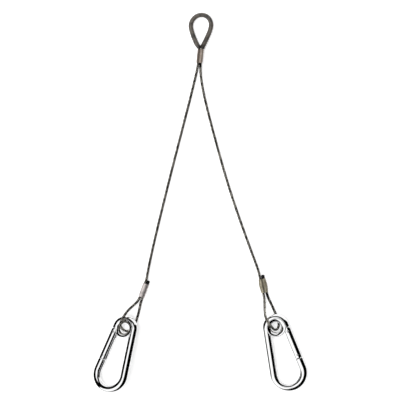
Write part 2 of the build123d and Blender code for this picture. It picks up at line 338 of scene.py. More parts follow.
EYE_ROUTE = [
    hole_point(TOP_FERRULE, LEFT, -MOUTH + 0.2 * MM),
    hole_point(TOP_FERRULE, LEFT, MOUTH + 1.2 * MM),
    (-0.0029, 0.1192, 0.00165),
    (-0.0076, 0.1313, 0.0017),
    (-0.00725, 0.1373, 0.0017),
    (-0.0028, 0.1419, 0.0017),
    (0.0034, 0.1422, 0.0017),
    (0.0076, 0.1382, 0.0017),
    (0.0082, 0.1322, 0.0017),
    (0.0024, 0.1196, 0.002),
    hole_point(TOP_FERRULE, RIGHT, MOUTH + 1.2 * MM),
    hole_point(TOP_FERRULE, RIGHT, -MOUTH + 0.2 * MM),
]
LEG_ROUTE = {
    LEFT: [
        hole_point(TOP_FERRULE, LEFT, -MOUTH + 0.4 * MM),
        (-0.0027, 0.1004, 0.0013),
        (-0.0043, 0.0936, FLOOR_Z),
        (-0.0076, 0.08, FLOOR_Z),
        (-0.0142, 0.0545, FLOOR_Z),
        (-0.0239, 0.0168, FLOOR_Z),
        (-0.0332, -0.021, FLOOR_Z),
        (-0.0381, -0.0425, FLOOR_Z),
        (-0.0401, -0.0524, 0.0017),
        hole_point(LEG_FERRULE[LEFT], LEFT, STRAIGHT_OUT),
        hole_point(LEG_FERRULE[LEFT], LEFT, 0),
    ],
    RIGHT: [
        hole_point(TOP_FERRULE, RIGHT, -MOUTH + 0.4 * MM),
        (-0.0003, 0.0992, 0.0022),
        (0.0006, 0.0916, FLOOR_Z),
        (0.0024, 0.0814, FLOOR_Z),
        (0.0079, 0.059, FLOOR_Z),
        (0.0186, 0.0201, FLOOR_Z),
        (0.0283, -0.0096, FLOOR_Z),
        (0.0382, -0.0368, FLOOR_Z),
        (0.043, -0.0496, 0.0012),
        hole_point(LEG_FERRULE[RIGHT], LEFT, STRAIGHT_OUT),
        hole_point(LEG_FERRULE[RIGHT], LEFT, 0),
    ],
}
LOOP_ROUTE = {
    LEFT: [
        hole_point(LEG_FERRULE[LEFT], LEFT, 0),
        hole_point(LEG_FERRULE[LEFT], LEFT, -STRAIGHT_OUT),
        (-0.0506, -0.0779, 0.0046),
        (-0.0543, -0.0812, 0.0074),
        (-0.0572, -0.0848, 0.0097),
        (-0.0594, -0.0886, 0.0104),
        (-0.0608, -0.0919, 0.0102),
        (-0.0603, -0.0947, 0.0077),
        (-0.058, -0.0973, 0.0046),
        (-0.0551, -0.0981, 0.0019),
        (-0.052, -0.0962, FLOOR_Z),
        (-0.0494, -0.0916, FLOOR_Z),
        (-0.0476, -0.0858, FLOOR_Z),
        (-0.0463, -0.0803, 0.0011),
        hole_point(LEG_FERRULE[LEFT], RIGHT, -STRAIGHT_OUT),
        hole_point(LEG_FERRULE[LEFT], RIGHT, MOUTH + TAIL_L),
    ],
    RIGHT: [
        hole_point(LEG_FERRULE[RIGHT], LEFT, 0),
        hole_point(LEG_FERRULE[RIGHT], LEFT, -STRAIGHT_OUT),
        (0.0485, -0.0766, 0.0032),
        (0.0484, -0.0816, 0.007),
        (0.0487, -0.086, 0.0108),
        (0.05, -0.0896, 0.0118),
        (0.0519, -0.0925, 0.0114),
        (0.0541, -0.0949, 0.0084),
        (0.056, -0.097, 0.0045),
        (0.0586, -0.0964, 0.0019),
        (0.0596, -0.0926, FLOOR_Z),
        (0.0581, -0.0876, FLOOR_Z),
        (0.0559, -0.0824, FLOOR_Z),
        (0.0535, -0.0772, 0.0011),
        hole_point(LEG_FERRULE[RIGHT], RIGHT, -STRAIGHT_OUT),
        hole_point(LEG_FERRULE[RIGHT], RIGHT, MOUTH + TAIL_L),
    ],
}


# ---------------------------------------------------------------- rope


# one ring of a strand: a valley and two points on the crown for each wire
RING_ANGLES = []
RING_RADII = []
for wire in range(WIRES):
    for offset, share in ((-30, 0.66), (-9, 0.98), (9, 0.98)):
        RING_ANGLES.append(math.radians(60 * wire + offset))
        RING_RADII.append(STRAND_R * share)
RING_ANGLES = np.array(RING_ANGLES)
RING_RADII = np.array(RING_RADII)


def rope_mesh(name, route, phase=0.0, mouth_shadow=None, bright_front_shaded_back=0.0):
    """Six twisted strands and a core along the route's smooth line.

    The rope turns black with painted shadow round the point given for a ferrule's mouth, and the strength
    given last makes its first part, which crosses over the hook, brighter and paints shade on the rest, which
    runs beneath it.
    """
    line, distance = even_steps(nurbs_line(route), ROPE_STEP)
    tangents, normals, binormals = carried_frames(line)
    sides = len(RING_ANGLES)
    vertices = []
    faces = []
    openness = []
    tones = []
    for strand in range(STRANDS):
        turn = 2 * math.pi * (distance / ROPE_LAY + strand / STRANDS) + phase
        outward = np.cos(turn)[:, None] * normals + np.sin(turn)[:, None] * binormals
        sideways = np.cross(tangents, outward)
        centres = line + STRAND_ORBIT * outward
        twist = -2 * math.pi * distance / WIRE_LAY
        angle = RING_ANGLES[None, :] + twist[:, None]
        a = (RING_RADII[None, :] * np.cos(angle))[:, :, None]
        b = (RING_RADII[None, :] * np.sin(angle))[:, :, None]
        ring = centres[:, None, :] + a * outward[:, None, :] + b * sideways[:, None, :]
        start = len(vertices)
        vertices.extend(ring.reshape(-1, 3))
        # openness, each point's distance from the rope's axis, sets the painted shade in the grooves
        depth = np.linalg.norm(ring - line[:, None, :], axis=2) / ROPE_R
        openness.extend(depth.reshape(-1))
        along = np.repeat(distance / distance[-1], sides)
        # each strand's own tone, raised along the loop's first part, which crosses over the hook, and lowered
        # as painted shade along the rest, which runs beneath it
        tone = STRAND_TONES[strand] + bright_front_shaded_back * np.tanh((0.42 - along) * 12)
        # painted shadow: the tone drops to black round the point at the ferrule's mouth
        if mouth_shadow is not None:
            away = np.linalg.norm(ring.reshape(-1, 3) - np.array(mouth_shadow), axis=1)
            tone = tone - 3.0 * np.exp(-((away / MOUTH_SHADOW_REACH) ** 2))
        tones.extend(tone)
        faces.extend(grid_faces(len(line), sides, start))
        add_end_faces(faces, len(line), sides, start)
    core_sides = 8
    start = len(vertices)
    spokes = round_spokes(normals, binormals, core_sides)
    vertices.extend((line[:, None, :] + STRAND_R * 1.05 * spokes).reshape(-1, 3))
    # the core, deep between the strands, lies in full painted shade
    openness.extend([0.3] * len(line) * core_sides)
    tones.extend([0.0] * len(line) * core_sides)
    faces.extend(grid_faces(len(line), core_sides, start))
    add_end_faces(faces, len(line), core_sides, start)
    rope = new_object(name, vertices, faces)
    add_attribute(rope, "openness", openness)
    add_attribute(rope, "tone", tones)
    return rope, line


# ---------------------------------------------------------------- materials


class Nodes:
    """A material's node tree, with short calls for the nodes that these materials share."""

    def __init__(self, name):
        self.material = bpy.data.materials.new(name)
        self.material.use_nodes = True
        self.tree = self.material.node_tree
        self.shader = self.tree.nodes["Principled BSDF"]
        self.place = self.tree.nodes.new("ShaderNodeTexCoord").outputs["Object"]

    def link(self, source, target):
        self.tree.links.new(source, target)

    def noise(self, scale, detail=4.0, roughness=0.55, place=None):
        node = self.tree.nodes.new("ShaderNodeTexNoise")
        node.inputs["Scale"].default_value = scale
        node.inputs["Detail"].default_value = detail
        node.inputs["Roughness"].default_value = roughness
        self.link(place or self.place, node.inputs["Vector"])
        return node.outputs["Fac"]

    def stretched(self, scale):
        node = self.tree.nodes.new("ShaderNodeMapping")
        node.inputs["Scale"].default_value = scale
        self.link(self.place, node.inputs["Vector"])
        return node.outputs["Vector"]

    def attribute(self, name):
        node = self.tree.nodes.new("ShaderNodeAttribute")
        node.attribute_name = name
        return node.outputs["Fac"]

    def ramp(self, source, *stops):
        node = self.tree.nodes.new("ShaderNodeValToRGB")
        ramp = node.color_ramp
        while len(ramp.elements) < len(stops):
            ramp.elements.new(0.5)
        for element, (position, value) in zip(ramp.elements, stops):
            element.position = position
            element.color = (*value, 1) if isinstance(value, tuple) else (value, value, value, 1)
        self.link(source, node.inputs["Fac"])
        return node.outputs["Color"]

    def mix(self, factor, a, b, blend="MIX"):
        node = self.tree.nodes.new("ShaderNodeMix")
        node.data_type = "RGBA"
        node.blend_type = blend
        if isinstance(factor, float):
            node.inputs["Factor"].default_value = factor
        else:
            self.link(factor, node.inputs["Factor"])
        for socket, value in (("A", a), ("B", b)):
            target = [i for i in node.inputs if i.name == socket and i.type == "RGBA"][0]
            if isinstance(value, tuple):
                target.default_value = (*value, 1)
            else:
                self.link(value, target)
        return [o for o in node.outputs if o.type == "RGBA"][0]

    def math(self, operation, a, b):
        node = self.tree.nodes.new("ShaderNodeMath")
        node.operation = operation
        for target, value in zip(node.inputs, (a, b)):
            if isinstance(value, (int, float)):
                target.default_value = value
            else:
                self.link(value, target)
        return node.outputs[0]

    def bump(self, height, strength, distance):
        node = self.tree.nodes.new("ShaderNodeBump")
        node.inputs["Strength"].default_value = strength
        node.inputs["Distance"].default_value = distance
        self.link(height, node.inputs["Height"])
        self.link(node.outputs["Normal"], self.shader.inputs["Normal"])

    def color(self, source):
        self.link(source, self.shader.inputs["Base Color"])

    def roughness(self, source):
        self.link(source, self.shader.inputs["Roughness"])

    def fixed(self, **values):
        for name, value in values.items():
            self.shader.inputs[name.replace("_", " ")].default_value = value


def rope_material():
    """Dull galvanised wire, with painted shade in the grooves between its strands and wires."""
    n = Nodes("galvanised_rope")
    openness = n.attribute("openness")
    tarnish = n.ramp(n.noise(470, 1), (0.44, 0.0), (0.56, 1.0))
    fine = n.noise(1500, 3)
    tone_and_tarnish = n.math("ADD", n.math("MULTIPLY", n.attribute("tone"), 0.45), n.math("MULTIPLY", tarnish, 0.55))
    metal = n.mix(n.ramp(tone_and_tarnish, (0.12, 0.0), (0.95, 1.0)), (0.02, 0.0185, 0.016), (0.95, 0.90, 0.80))
    worn = n.mix(n.ramp(fine, (0.6, 0.0), (0.8, 0.35)), metal, (0.40, 0.38, 0.35))
    # painted shade: the colour darkens the nearer a point lies to the rope's axis, in the grooves and on the
    # core
    shade = n.ramp(openness, (0.72, 0.02), (0.86, 0.5), (0.95, 1.0))
    n.color(n.mix(1.0, worn, shade, "MULTIPLY"))
    n.roughness(n.ramp(fine, (0.3, 0.28), (0.7, 0.44)))
    n.fixed(Metallic=0.9)
    n.bump(fine, 0.25, 0.00004)
    return n.material


def hose_material():
    """Dull dark rubber hose, dusty, scuffed and stained, and black with painted shadow at its ends."""
    n = Nodes("grey_hose")
    patches = n.noise(160, 4)
    flecks = n.noise(1400, 4, 0.7)
    streaks = n.noise(300, 3, place=n.stretched((6, 1, 6)))
    stains = n.noise(230, 3)
    base = n.mix(patches, (0.062, 0.055, 0.047), (0.120, 0.106, 0.090))
    dusty = n.mix(n.ramp(flecks, (0.45, 0.0), (0.72, 0.7)), base, (0.22, 0.195, 0.17))
    scuffed = n.mix(n.ramp(streaks, (0.4, 0.0), (0.75, 0.5)), dusty, (0.15, 0.12, 0.092))
    stained = n.mix(n.ramp(stains, (0.46, 0.0), (0.60, 0.8)), scuffed, (0.022, 0.020, 0.018))
    # painted shadow blackens the hose towards its ends
    n.color(n.mix(n.attribute("end_shadow"), stained, (0.010, 0.009, 0.008)))
    n.roughness(n.ramp(flecks, (0.3, 0.32), (0.7, 0.52)))
    n.fixed(Specular_IOR_Level=0.8)
    n.bump(flecks, 0.35, 0.00008)
    return n.material


def ferrule_material(name, dark, light, metallic=0.45):
    """Pressed aluminium, stained, brighter where the press rubbed it, with painted shade between its lobes.
    """
    n = Nodes(name)
    patches = n.noise(520, 4)
    fine = n.noise(2600, 3)
    drawn = n.noise(500, 3, place=n.stretched((5, 1, 5)))
    base = n.mix(n.ramp(patches, (0.35, 0.0), (0.65, 1.0)), dark, light)
    rubbed = n.mix(n.ramp(drawn, (0.45, 0.0), (0.75, 0.6)), base, tuple(0.3 + 0.7 * c for c in light))
    # painted shade: darker in the groove between the two lobes
    between_lobes = n.ramp(n.attribute("valley"), (0.55, 0.0), (1.0, 0.85))
    n.color(n.mix(between_lobes, rubbed, tuple(0.3 * c for c in dark)))
    n.roughness(n.ramp(fine, (0.3, 0.25), (0.7, 0.42)))
    n.fixed(Metallic=metallic)
    n.bump(fine, 0.3, 0.00005)
    return n.material


def chrome_material():
    """Bright plated steel, with faint polishing haze."""
    n = Nodes("bright_plate")
    haze = n.noise(260, 4)
    fine = n.noise(5200, 2)
    n.color(n.mix(haze, (0.80, 0.80, 0.81), (0.90, 0.90, 0.90)))
    n.roughness(n.ramp(haze, (0.35, 0.03), (0.7, 0.07)))
    n.fixed(Metallic=1.0)
    n.bump(fine, 0.03, 0.00001)
    return n.material


def plain_steel_material():
    """Turned steel of the pins, slightly duller than the plated hook."""
    n = Nodes("pin_steel")
    haze = n.noise(900, 4)
    n.color(n.mix(haze, (0.52, 0.52, 0.52), (0.70, 0.70, 0.70)))
    n.roughness(n.ramp(haze, (0.3, 0.18), (0.7, 0.32)))
    n.fixed(Metallic=1.0)
    n.bump(haze, 0.1, 0.00002)
    return n.material


def cap_material():
    """Black shrunk plastic."""
    n = Nodes("black_cap")
    wrinkles = n.noise(1500, 4)
    n.color(n.mix(wrinkles, (0.003, 0.003, 0.003), (0.010, 0.0095, 0.009)))
    n.roughness(n.ramp(wrinkles, (0.3, 0.45), (0.7, 0.7)))
    n.fixed(Specular_IOR_Level=0.2)
    n.bump(wrinkles, 0.4, 0.00006)
    return n.material


ROPE = rope_material()
HOSE = hose_material()
CHROME = chrome_material()
PIN_STEEL = plain_steel_material()
CAP = cap_material()
TOP_FERRULE_METAL = ferrule_material("top_ferrule_metal", (0.24, 0.19, 0.15), (0.46, 0.37, 0.305))
LEG_FERRULE_METAL = {
    LEFT: ferrule_material("left_ferrule_metal", (0.42, 0.375, 0.365), (0.80, 0.73, 0.71), 0.25),
    RIGHT: ferrule_material("right_ferrule_metal", (0.24, 0.21, 0.14), (0.44, 0.395, 0.28)),
}


def finish_piece(piece, material, body, slot, *nodes):
    piece.data.materials.clear()
    piece.data.materials.append(material)
    if body:
        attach(piece, body)
    if nodes:
        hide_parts(*nodes)
    return piece


def build_ropes():
    """The two legs bend out of the top ferrule; the two loops stay with their legs."""
    for side, name in SIDES.items():
        # the right leg gets painted shadow where it leaves the top ferrule's mouth
        mouth_shadow = hole_point(TOP_FERRULE, RIGHT, -MOUTH) if side == RIGHT else None
        leg, line = rope_mesh(f"{name}_leg_strands", LEG_ROUTE[side], 0.6 * side, mouth_shadow)
        finish_piece(leg, ROPE, None, "wire_rope", f"{name}_leg_rope")
        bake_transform(leg)
        # the right loop gets painted shadow below its ferrule's lower mouth, is brighter where it crosses
        # over the hook, and gets painted shade where it runs beneath it
        below_mouth = hole_point(LEG_FERRULE[side], RIGHT, -MOUTH - 1.5 * MM)
        loop_shading = {"mouth_shadow": below_mouth, "bright_front_shaded_back": 0.7} if side == RIGHT else {}
        loop, line = rope_mesh(f"{name}_loop_strands", LOOP_ROUTE[side], 1.1 * side, **loop_shading)
        finish_piece(loop, ROPE, f"{name}_leg", "wire_rope", f"{name}_loop_rope")
    eye, line = rope_mesh("eye_strands", EYE_ROUTE)
    finish_piece(eye, ROPE, "root", "wire_rope", "eye_rope")


build_ropes()


# ---------------------------------------------------------------- top eye


def build_eye_hose():
    """A soft hose over the eye rope, a little slimmer round the crown and at its two open ends."""
    rope = nurbs_line(EYE_ROUTE)
    above = (rope - np.array(TOP_FERRULE["middle"])) @ np.array(TOP_FERRULE["along"]) - MOUTH
    first = int(np.argmax(above > HOSE_START_GAP))
    last = len(rope) - int(np.argmax(above[::-1] > HOSE_END_GAP))
    line, distance = even_steps(rope[first:last], HOSE_STEP)
    tangents, normals, binormals = carried_frames(line)
    sides = 40
    spokes = round_spokes(normals, binormals, sides)
    share = distance / distance[-1]
    radius = HOSE_R * (0.96 + 0.10 * np.abs(2 * share - 1.05) ** 2 + 0.05 * share)
    start_taper = 0.16 * np.exp(-distance / HOSE_TAPER)
    end_taper = 0.06 * np.exp((distance - distance[-1]) / HOSE_TAPER)
    radius = radius * (1 - start_taper - end_taper)
    outer = line[:, None, :] + radius[:, None, None] * spokes
    lip = ((0.10 * MM, 1.0), (0.16 * MM, 0.93), (0.16 * MM, 0.80))
    head = [line[0] - tangents[0] * offset + radius[0] * scale * spokes[0] for offset, scale in reversed(lip)]
    tail = [line[-1] + tangents[-1] * offset + radius[-1] * scale * spokes[-1] for offset, scale in lip]
    bore_depth = 8
    bore_head = [line[i] + HOSE_BORE_R * spokes[i] for i in range(bore_depth, -1, -4)]
    bore_tail = [line[-1 - i] + HOSE_BORE_R * spokes[-1 - i] for i in range(0, bore_depth + 1, 4)]
    rings = bore_head + head + list(outer) + tail + bore_tail
    vertices = np.concatenate(rings).reshape(-1, 3)
    hose = new_object("eye_hose", vertices, grid_faces(len(rings), sides))
    # painted shadow: near black at the hose's two ends, fading inward
    from_end = np.minimum(distance, distance[-1] - distance)
    end_shadow = 0.9 * np.exp(-((from_end / HOSE_END_SHADOW) ** 2))
    beyond = [end_shadow[0]] * (len(bore_head) + len(head))
    add_attribute(hose, "end_shadow", np.repeat(np.concatenate((beyond, end_shadow, beyond)), sides))
    finish_piece(hose, HOSE, "root", "eye_hose", "eye_sleeve")


build_eye_hose()


# ---------------------------------------------------------------- ferrules


def build_ferrule(name, ferrule, metal, body, node, bulge=0.02):
    """Two lobes pressed round two ropes, wider in the middle, with jaw marks and rolled-in mouths."""
    sides = 64
    angle = round_angles(sides)
    across = np.array(ferrule["across"])
    along = np.array(ferrule["along"])
    out = np.array(ferrule["out"])
    middle = np.array(ferrule["middle"])

    def outline(lobe_x, lobe_r, widen=1.0):
        reach = lobe_x * np.sqrt(np.cos(angle) ** 2 + 0.012)
        reach = reach + np.sqrt(np.maximum(lobe_r**2 - (lobe_x * np.sin(angle)) ** 2, (0.15 * lobe_r) ** 2))
        sideways = reach * np.cos(angle) * widen
        return sideways[:, None] * across + (reach * np.sin(angle))[:, None] * out

    outside = outline(LOBE_X, LOBE_R)
    inside = outline(HOLE_X, HOLE_R)
    rings = []
    # each row is a depth from the mouth in millimetres, and how far in from the outside towards the bore
    mouth_profile = ((3.0, 1.0), (0.25, 1.0), (0.05, 0.85), (0.0, 0.45), (0.05, 0.18), (0.2, 0.05))
    for depth, inward in mouth_profile:
        rings.append(middle - along * (MOUTH - depth * MM) + outside * (1 - inward) + inside * inward)
    steps = 44
    rim = 0.45 * MM
    for i in range(steps + 1):
        share = i / steps
        place = -MOUTH + rim + share * (FERRULE_L - 2 * rim)
        widen = 1 + bulge * math.sin(math.pi * share)
        mark = JAW_MARK_DEPTH * sum(math.exp(-(((share - spot) / JAW_MARK_WIDTH) ** 2)) for spot in JAW_MARKS)
        rings.append(middle + along * place + outline(LOBE_X, LOBE_R, widen) * (0.995 - mark))
    for depth, inward in reversed(mouth_profile):
        rings.append(middle + along * (MOUTH - depth * MM) + outside * (1 - inward) + inside * inward)
    vertices = np.concatenate(rings)
    piece = new_object(name, vertices, grid_faces(len(rings), sides))
    # valley marks the groove between the lobes, where the material paints shade
    add_attribute(piece, "valley", np.tile(np.abs(np.sin(angle)) ** 3, len(rings)))
    finish_piece(piece, metal, body, "ferrule", node)


def build_tail_cap(side, name):
    """A shrunk cap with a rounded end over the rope's dead end."""
    ferrule = LEG_FERRULE[side]
    along = np.array(ferrule["along"])
    across = np.array(ferrule["across"])
    out = np.array(ferrule["out"])
    base = np.array(hole_point(ferrule, RIGHT, MOUTH + CAP_START))
    sides = 32
    angle = round_angles(sides)
    spokes = np.cos(angle)[:, None] * across + np.sin(angle)[:, None] * out
    # each row is a distance along the cap in millimetres and a share of its radius, from inside its open end
    side_end = 2.1
    dome = 0.8
    profile = [(1.4, 0.86), (0.04, 0.86), (0.0, 0.93), (0.05, 0.99), (0.5, 1.0), (1.2, 0.97), (1.9, 0.98)]
    for step in range(1, 8):
        turn = step / 8 * math.pi / 2
        profile.append((side_end + dome * math.sin(turn), 0.32 + 0.64 * math.cos(turn)))
    profile += [(side_end + dome, 0.2), (side_end + dome - 0.02, 0.05)]
    rings = [base + along * depth * MM + spokes * CAP_R * share for depth, share in profile]
    faces = grid_faces(len(rings), sides)
    last = (len(rings) - 1) * sides
    faces.append(tuple(range(last, last + sides)))
    piece = new_object(f"{name}_end_cap", np.concatenate(rings), faces)
    finish_piece(piece, CAP, f"{name}_leg", "tail_cap", f"{name}_tail_cap")


build_ferrule("top_pressed_ferrule", TOP_FERRULE, TOP_FERRULE_METAL, "root", "top_ferrule")
for side, name in SIDES.items():
    build_ferrule(
        f"{name}_pressed_ferrule",
        LEG_FERRULE[side],
        LEG_FERRULE_METAL[side],
        f"{name}_leg",
        f"{name}_ferrule",
        LEG_FERRULE_BULGE[side],
    )
    build_tail_cap(side, name)


# ---------------------------------------------------------------- snap hooks


class HookPlane:
    """A snap hook's own directions, from its joints: across it, up towards the rope, and out of it."""

    def __init__(self, side, name):
        swing = JOINTS[f"{name}_hook_swing"]
        slide = JOINTS[f"{name}_plunger_slide"]
        self.side = side
        self.centre = Vector(swing["pos_m"])
        self.out = Vector(swing["axis"]) * side
        self.gate = Vector(slide["axis"])
        turned = self.out.cross(self.gate)
        self.across = turned * math.cos(FLARE) + self.gate * side * math.sin(FLARE)
        self.up = turned * side * math.sin(FLARE) - self.gate * math.cos(FLARE)

    def point(self, x, y, z=0.0):
        """x is towards the gate's side, on either hook."""
        return self.centre + self.across * self.side * x + self.up * y + self.out * z

    def gate_point(self, along, outward=0.0, z=0.0):
        """Beside the gate's line: along from the end of the narrow bend, outward from the hook's middle."""
        x = NARROW_R * math.cos(FLARE) + along * math.sin(FLARE) + outward * math.cos(FLARE)
        y = NARROW_R * math.sin(FLARE) - along * math.cos(FLARE) + outward * math.sin(FLARE)
        return self.point(x, y, z)


def swept_wire(name, line, out, sides=48):
    """A round wire along a flat line, its two cut ends slightly rounded."""
    tangents = unit_rows(np.gradient(line, axis=0))
    tangents[0] = unit_rows((line[1] - line[0])[None])[0]
    tangents[-1] = unit_rows((line[-1] - line[-2])[None])[0]
    out = np.array(out)
    inward = np.cross(tangents, out)
    spokes = round_spokes(np.broadcast_to(out, inward.shape), inward, sides)
    rounding = []
    for t in np.linspace(math.pi / 2, 0, 5):
        rounding.append((WIRE_EDGE * (1 - math.sin(t)), WIRE_R - WIRE_EDGE * (1 - math.cos(t))))
    head = [line[0] + tangents[0] * depth + radius * spokes[0] for depth, radius in rounding]
    tail = [line[-1] - tangents[-1] * depth + radius * spokes[-1] for depth, radius in reversed(rounding)]
    body = [line[i] + WIRE_R * spokes[i] for i in range(1, len(line) - 1)]
    rings = head + body + tail
    faces = grid_faces(len(rings), sides)
    add_end_faces(faces, len(rings), sides)
    return new_object(name, np.concatenate(rings), faces)


def hook_line(hook):
    """The centreline of the hook's wire, from the gate's hinge round to the nose."""

    def arc(radius, centre_y, start, end, count):
        return [
            hook.point(radius * math.cos(t), centre_y + radius * math.sin(t))
            for t in np.linspace(start, end, count)
        ]

    line = [hook.gate_point(WIRE_END_S * share) for share in (1.0, 0.85, 0.4)]
    line += arc(NARROW_R, 0, FLARE, math.pi - FLARE, 60)
    spine_top = line[-1]
    wide = arc(WIDE_R, -BEND_SPACING, math.pi - FLARE, 2 * math.pi + FLARE, 80)
    for share in np.linspace(0, 1, 26)[1:-1]:
        line.append(spine_top.lerp(wide[0], share))
    line += wide
    for share in np.linspace(STRAIGHT_L, GATE_END_S + GATE_GAP, 8)[1:]:
        line.append(hook.gate_point(share))
    return np.array([tuple(p) for p in line])


def plate(name, outline, half, out):
    """A flat plate with softened edges, from an outline in its middle plane."""
    mesh = slab([place - out * half for place in outline], [place + out * half for place in outline])
    sharp = [edge for edge in mesh.edges if edge.calc_face_angle(0) > math.radians(30)]
    bmesh.ops.bevel(mesh, geom=sharp, offset=PLATE_EDGE, segments=2, affect="EDGES", profile=0.6)
    return object_from(name, mesh)


def join(main, *others):
    """Adds the other objects' meshes to the first."""
    mesh = bmesh.new()
    for thing in (main, *others):
        mesh.from_mesh(thing.data)
    mesh.to_mesh(main.data)
    mesh.free()
    for thing in others:
        data = thing.data
        bpy.data.objects.remove(thing)
        bpy.data.meshes.remove(data)
    return main


def shade(thing, angle=20):
    """Smooth faces with crisp edges where they turn sharply."""
    mesh = bmesh.new()
    mesh.from_mesh(thing.data)
    for face in mesh.faces:
        face.smooth = True
    for edge in mesh.edges:
        edge.smooth = edge.calc_face_angle(0) < math.radians(angle)
    mesh.to_mesh(thing.data)
    mesh.free()


def build_hook_body(hook, name):
    """The bent wire, with the gate's tongue at one end and the nose that holds its pin at the other."""
    body = swept_wire(f"{name}_hook_wire", hook_line(hook), hook.out)
    corner_start = RIVET_S + TONGUE_TIP - TONGUE_CORNER
    flat_half = TONGUE_HALF - TONGUE_CORNER
    tongue_shape = [(WIRE_END_S - PLATE_ROOT, -TONGUE_HALF)]
    turns = np.linspace(0, math.pi / 2, 6)
    for sign, corner_turns in ((-1, turns), (1, turns[::-1])):
        for t in corner_turns:
            along = corner_start + TONGUE_CORNER * math.sin(t)
            tongue_shape.append((along, sign * (flat_half + TONGUE_CORNER * math.cos(t))))
    tongue_shape.append((WIRE_END_S - PLATE_ROOT, TONGUE_HALF))
    tongue_outline = [hook.gate_point(s, v) for s, v in tongue_shape]
    tongue = plate(f"{name}_tongue", tongue_outline, TONGUE_HALF_T, hook.out)
    nose_shape = [
        (GATE_END_S + PLATE_ROOT, NOSE_OUTER),
        (NOSE_S, NOSE_OUTER),
        (NOSE_S, NOSE_INNER),
        (NOSE_HEAD_S, NOSE_INNER),
        (NOSE_HEAD_S, NOSE_NECK),
        (GATE_END_S + PLATE_ROOT, NOSE_NECK),
    ]
    nose_outline = [hook.gate_point(s, v) for s, v in nose_shape]
    nose = plate(f"{name}_nose", nose_outline, TONGUE_HALF_T, hook.out)
    join(body, tongue, nose)
    shade(body)
    finish_piece(body, CHROME, f"{name}_hook", "hook_steel", f"{name}_hook_body")


def revolved(name, hook, profile, count=120):
    """A closed outline of (radius, height) points turned about the eyelet's axis."""
    rings = []
    for t in round_angles(count):
        for radius, height in profile:
            rings.append(hook.point(radius * math.cos(t), radius * math.sin(t), height))
    size = len(profile)
    faces = []
    for i in range(count):
        for k in range(size):
            a = i * size
            b = (i + 1) % count * size
            after = (k + 1) % size
            faces.append((a + k, b + k, b + after, a + after))
    return new_object(name, rings, faces)


def build_eyelet(hook, name):
    """A channel round the inside of the narrow bend, its lips rounded over."""
    profile = []
    for t in np.linspace(-EYELET_WRAP, EYELET_WRAP, 40):
        reach = GROOVE_R + EYELET_WALL
        profile.append((NARROW_R - reach * math.cos(t), reach * math.sin(t)))
    lip = EYELET_WALL / 2
    for t in np.linspace(0, math.pi, 9)[1:-1]:
        reach = GROOVE_R + lip + lip * math.cos(t)
        turn = EYELET_WRAP + lip * math.sin(t) / GROOVE_R
        profile.append((NARROW_R - reach * math.cos(turn), reach * math.sin(turn)))
    for t in np.linspace(EYELET_WRAP, -EYELET_WRAP, 24):
        profile.append((NARROW_R - GROOVE_R * math.cos(t), GROOVE_R * math.sin(t)))
    for t in np.linspace(math.pi, 0, 9)[1:-1]:
        reach = GROOVE_R + lip + lip * math.cos(t)
        turn = EYELET_WRAP + lip * math.sin(t) / GROOVE_R
        profile.append((NARROW_R - reach * math.cos(turn), -reach * math.sin(turn)))
    eyelet = revolved(f"{name}_eyelet", hook, profile)
    finish_piece(eyelet, CHROME, f"{name}_hook", "hook_steel", f"{name}_hook_eyelet")


def pin_mesh(name, hook, along, radius, half, sides=32):
    """A round pin across the hook, with slightly domed ends."""
    spokes = [(math.cos(t), math.sin(t)) for t in round_angles(sides)]
    profile = [(-half, 0.3), (-half + 0.02 * MM, 0.62), (-half + 0.1 * MM, 0.86), (-half + 0.3 * MM, 1.0)]
    profile += [(-z, share) for z, share in reversed(profile)]
    vertices = []
    for z, share in profile:
        for c, s in spokes:
            vertices.append(hook.gate_point(along + radius * share * c, radius * share * s, z))
    faces = grid_faces(len(profile), sides)
    add_end_faces(faces, len(profile), sides)
    thing = new_object(name, vertices, faces)
    face_outwards(thing)
    return thing


def prism(name, outline, low, high, hook):
    """A straight-sided cutter: an outline beside the gate's line, from one height to another."""
    bottom = [hook.gate_point(s, v, low) for s, v in outline]
    top = [hook.gate_point(s, v, high) for s, v in outline]
    return object_from(name, slab(bottom, top))


def round_bar(name, hook, start, end, radius, sides=64, steps=1, edge=0.0):
    """A round bar on the gate's line, its far end's corner rounded by edge."""
    vertices = []
    for s in np.linspace(start, end, steps + 1):
        inset = max(0.0, s - (end - edge)) / edge if edge else 0.0
        reach = radius - edge * (1 - math.sqrt(1 - min(1.0, inset) ** 2))
        for t in round_angles(sides):
            vertices.append(hook.gate_point(s, reach * math.cos(t), reach * math.sin(t)))
    faces = grid_faces(steps + 1, sides)
    add_end_faces(faces, steps + 1, sides)
    thing = new_object(name, vertices, faces, smooth=False)
    face_outwards(thing)
    return thing


def cut(thing, tool, operation="DIFFERENCE"):
    """Cuts or keeps what is inside the tool, and removes the tool."""
    modifier = thing.modifiers.new("cut", "BOOLEAN")
    modifier.operation = operation
    modifier.object = tool
    modifier.solver = "EXACT"
    bake_modifiers(thing)
    data = tool.data
    bpy.data.objects.remove(tool)
    bpy.data.meshes.remove(data)


def bake_modifiers(thing):
    """Replaces the object's mesh with its evaluated one."""
    bpy.context.view_layer.update()
    evaluated = thing.evaluated_get(bpy.context.evaluated_depsgraph_get())
    data = bpy.data.meshes.new_from_object(evaluated)
    old = thing.data
    thing.modifiers.clear()
    thing.data = data
    bpy.data.meshes.remove(old)


def circle_outline(along, radius, count=40):
    return [(along + radius * math.cos(t), radius * math.sin(t)) for t in round_angles(count)]


def box_outline(start, end, half):
    return [(start, -half), (end, -half), (end, half), (start, half)]


